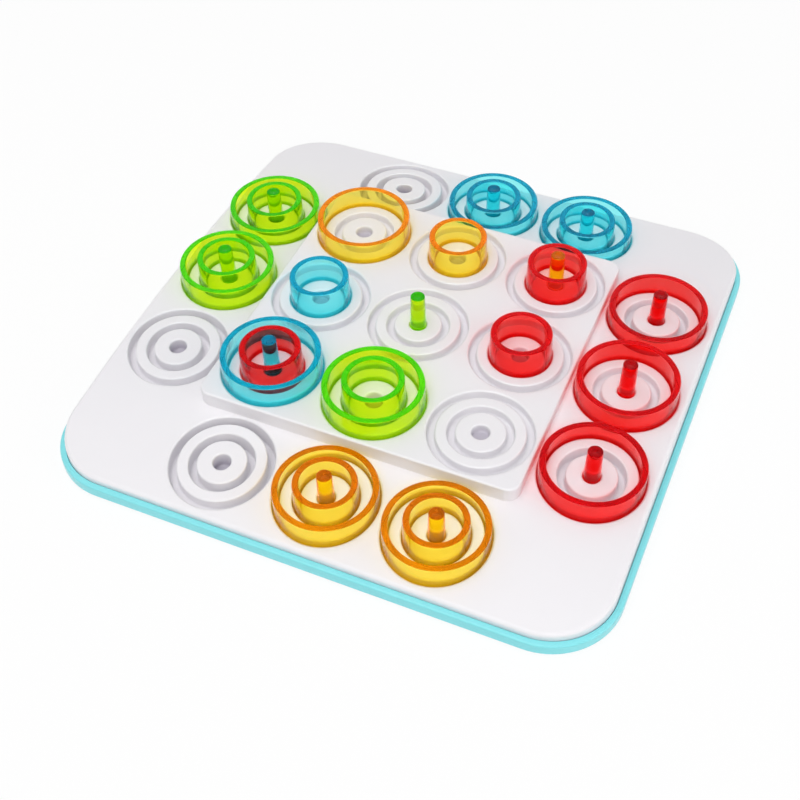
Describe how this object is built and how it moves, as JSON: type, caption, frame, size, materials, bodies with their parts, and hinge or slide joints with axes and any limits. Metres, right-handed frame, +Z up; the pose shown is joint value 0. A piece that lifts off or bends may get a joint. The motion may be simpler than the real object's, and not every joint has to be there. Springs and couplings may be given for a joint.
{
  "type": "concentric tic-tac-toe game",
  "caption": "Square board game: a gently crowned white deck with ring-shaped seats in a turquoise tray, and clear coloured rings and pegs that nest inside one another in the seats.",
  "frame": {"origin": "middle of the tray's underside, on the table", "axes": "+Z up; +X along the amber row, from the green row towards the red row; +Y from the amber row towards the blue row"},
  "size_m": [0.2494, 0.2494, 0.0389],
  "materials": {
    "white_plastic": "satin white moulded plastic",
    "turquoise_plastic": "satin turquoise moulded plastic",
    "screw_steel": "plated steel",
    "green_clear_plastic": "clear green moulded plastic, polished",
    "amber_clear_plastic": "clear amber moulded plastic, polished",
    "red_clear_plastic": "clear red moulded plastic, polished",
    "blue_clear_plastic": "clear blue moulded plastic, polished"
  },
  "bodies": {
    "board": {"board_top": "white_plastic", "base_tray": "turquoise_plastic", "screw_1": "screw_steel", "screw_2": "screw_steel", "screw_3": "screw_steel", "screw_4": "screw_steel", "screw_5": "screw_steel", "screw_6": "screw_steel", "screw_7": "screw_steel", "screw_8": "screw_steel"},
    "green_large_ring_1": {"green_large_ring_1": "green_clear_plastic"},
    "green_large_ring_2": {"green_large_ring_2": "green_clear_plastic"},
    "green_large_ring_3": {"green_large_ring_3": "green_clear_plastic"},
    "green_medium_ring_1": {"green_medium_ring_1": "green_clear_plastic"},
    "green_medium_ring_2": {"green_medium_ring_2": "green_clear_plastic"},
    "green_medium_ring_3": {"green_medium_ring_3": "green_clear_plastic"},
    "green_peg_1": {"green_peg_1": "green_clear_plastic"},
    "green_peg_2": {"green_peg_2": "green_clear_plastic"},
    "green_peg_3": {"green_peg_3": "green_clear_plastic"},
    "amber_large_ring_1": {"amber_large_ring_1": "amber_clear_plastic"},
    "amber_large_ring_2": {"amber_large_ring_2": "amber_clear_plastic"},
    "amber_large_ring_3": {"amber_large_ring_3": "amber_clear_plastic"},
    "amber_medium_ring_1": {"amber_medium_ring_1": "amber_clear_plastic"},
    "amber_medium_ring_2": {"amber_medium_ring_2": "amber_clear_plastic"},
    "amber_medium_ring_3": {"amber_medium_ring_3": "amber_clear_plastic"},
    "amber_peg_1": {"amber_peg_1": "amber_clear_plastic"},
    "amber_peg_2": {"amber_peg_2": "amber_clear_plastic"},
    "amber_peg_3": {"amber_peg_3": "amber_clear_plastic"},
    "red_large_ring_1": {"red_large_ring_1": "red_clear_plastic"},
    "red_large_ring_2": {"red_large_ring_2": "red_clear_plastic"},
    "red_large_ring_3": {"red_large_ring_3": "red_clear_plastic"},
    "red_medium_ring_1": {"red_medium_ring_1": "red_clear_plastic"},
    "red_medium_ring_2": {"red_medium_ring_2": "red_clear_plastic"},
    "red_medium_ring_3": {"red_medium_ring_3": "red_clear_plastic"},
    "red_peg_1": {"red_peg_1": "red_clear_plastic"},
    "red_peg_2": {"red_peg_2": "red_clear_plastic"},
    "red_peg_3": {"red_peg_3": "red_clear_plastic"},
    "blue_large_ring_1": {"blue_large_ring_1": "blue_clear_plastic"},
    "blue_large_ring_2": {"blue_large_ring_2": "blue_clear_plastic"},
    "blue_large_ring_3": {"blue_large_ring_3": "blue_clear_plastic"},
    "blue_medium_ring_1": {"blue_medium_ring_1": "blue_clear_plastic"},
    "blue_medium_ring_2": {"blue_medium_ring_2": "blue_clear_plastic"},
    "blue_medium_ring_3": {"blue_medium_ring_3": "blue_clear_plastic"},
    "blue_peg_1": {"blue_peg_1": "blue_clear_plastic"},
    "blue_peg_2": {"blue_peg_2": "blue_clear_plastic"},
    "blue_peg_3": {"blue_peg_3": "blue_clear_plastic"}
  },
  "joints": [
    {"name": "green_large_ring_1_lift", "type": "slide", "parent": "board", "child": "green_large_ring_1", "axis": [0, 0, 1], "range_m": [0, 0.04]},
    {"name": "green_large_ring_2_lift", "type": "slide", "parent": "board", "child": "green_large_ring_2", "axis": [0, 0, 1], "range_m": [0, 0.04]},
    {"name": "green_large_ring_3_lift", "type": "slide", "parent": "board", "child": "green_large_ring_3", "axis": [0, 0, 1], "range_m": [0, 0.04]},
    {"name": "green_medium_ring_1_lift", "type": "slide", "parent": "board", "child": "green_medium_ring_1", "axis": [0, 0, 1], "range_m": [0, 0.04]},
    {"name": "green_medium_ring_2_lift", "type": "slide", "parent": "board", "child": "green_medium_ring_2", "axis": [0, 0, 1], "range_m": [0, 0.04]},
    {"name": "green_medium_ring_3_lift", "type": "slide", "parent": "board", "child": "green_medium_ring_3", "axis": [0, 0, 1], "range_m": [0, 0.04]},
    {"name": "green_peg_1_lift", "type": "slide", "parent": "board", "child": "green_peg_1", "axis": [0, 0, 1], "range_m": [0, 0.04]},
    {"name": "green_peg_2_lift", "type": "slide", "parent": "board", "child": "green_peg_2", "axis": [0, 0, 1], "range_m": [0, 0.04]},
    {"name": "green_peg_3_lift", "type": "slide", "parent": "board", "child": "green_peg_3", "axis": [0, 0, 1], "range_m": [0, 0.04]},
    {"name": "amber_large_ring_1_lift", "type": "slide", "parent": "board", "child": "amber_large_ring_1", "axis": [0, 0, 1], "range_m": [0, 0.04]},
    {"name": "amber_large_ring_2_lift", "type": "slide", "parent": "board", "child": "amber_large_ring_2", "axis": [0, 0, 1], "range_m": [0, 0.04]},
    {"name": "amber_large_ring_3_lift", "type": "slide", "parent": "board", "child": "amber_large_ring_3", "axis": [0, 0, 1], "range_m": [0, 0.04]},
    {"name": "amber_medium_ring_1_lift", "type": "slide", "parent": "board", "child": "amber_medium_ring_1", "axis": [0, 0, 1], "range_m": [0, 0.04]},
    {"name": "amber_medium_ring_2_lift", "type": "slide", "parent": "board", "child": "amber_medium_ring_2", "axis": [0, 0, 1], "range_m": [0, 0.04]},
    {"name": "amber_medium_ring_3_lift", "type": "slide", "parent": "board", "child": "amber_medium_ring_3", "axis": [0, 0, 1], "range_m": [0, 0.04]},
    {"name": "amber_peg_1_lift", "type": "slide", "parent": "board", "child": "amber_peg_1", "axis": [0, 0, 1], "range_m": [0, 0.04]},
    {"name": "amber_peg_2_lift", "type": "slide", "parent": "board", "child": "amber_peg_2", "axis": [0, 0, 1], "range_m": [0, 0.04]},
    {"name": "amber_peg_3_lift", "type": "slide", "parent": "board", "child": "amber_peg_3", "axis": [0, 0, 1], "range_m": [0, 0.04]},
    {"name": "red_large_ring_1_lift", "type": "slide", "parent": "board", "child": "red_large_ring_1", "axis": [0, 0, 1], "range_m": [0, 0.04]},
    {"name": "red_large_ring_2_lift", "type": "slide", "parent": "board", "child": "red_large_ring_2", "axis": [0, 0, 1], "range_m": [0, 0.04]},
    {"name": "red_large_ring_3_lift", "type": "slide", "parent": "board", "child": "red_large_ring_3", "axis": [0, 0, 1], "range_m": [0, 0.04]},
    {"name": "red_medium_ring_1_lift", "type": "slide", "parent": "board", "child": "red_medium_ring_1", "axis": [0, 0, 1], "range_m": [0, 0.04]},
    {"name": "red_medium_ring_2_lift", "type": "slide", "parent": "board", "child": "red_medium_ring_2", "axis": [0, 0, 1], "range_m": [0, 0.04]},
    {"name": "red_medium_ring_3_lift", "type": "slide", "parent": "board", "child": "red_medium_ring_3", "axis": [0, 0, 1], "range_m": [0, 0.04]},
    {"name": "red_peg_1_lift", "type": "slide", "parent": "board", "child": "red_peg_1", "axis": [0, 0, 1], "range_m": [0, 0.04]},
    {"name": "red_peg_2_lift", "type": "slide", "parent": "board", "child": "red_peg_2", "axis": [0, 0, 1], "range_m": [0, 0.04]},
    {"name": "red_peg_3_lift", "type": "slide", "parent": "board", "child": "red_peg_3", "axis": [0, 0, 1], "range_m": [0, 0.04]},
    {"name": "blue_large_ring_1_lift", "type": "slide", "parent": "board", "child": "blue_large_ring_1", "axis": [0, 0, 1], "range_m": [0, 0.04]},
    {"name": "blue_large_ring_2_lift", "type": "slide", "parent": "board", "child": "blue_large_ring_2", "axis": [0, 0, 1], "range_m": [0, 0.04]},
    {"name": "blue_large_ring_3_lift", "type": "slide", "parent": "board", "child": "blue_large_ring_3", "axis": [0, 0, 1], "range_m": [0, 0.04]},
    {"name": "blue_medium_ring_1_lift", "type": "slide", "parent": "board", "child": "blue_medium_ring_1", "axis": [0, 0, 1], "range_m": [0, 0.04]},
    {"name": "blue_medium_ring_2_lift", "type": "slide", "parent": "board", "child": "blue_medium_ring_2", "axis": [0, 0, 1], "range_m": [0, 0.04]},
    {"name": "blue_medium_ring_3_lift", "type": "slide", "parent": "board", "child": "blue_medium_ring_3", "axis": [0, 0, 1], "range_m": [0, 0.04]},
    {"name": "blue_peg_1_lift", "type": "slide", "parent": "board", "child": "blue_peg_1", "axis": [0, 0, 1], "range_m": [0, 0.04]},
    {"name": "blue_peg_2_lift", "type": "slide", "parent": "board", "child": "blue_peg_2", "axis": [0, 0, 1], "range_m": [0, 0.04]},
    {"name": "blue_peg_3_lift", "type": "slide", "parent": "board", "child": "blue_peg_3", "axis": [0, 0, 1], "range_m": [0, 0.04]}
  ]
}
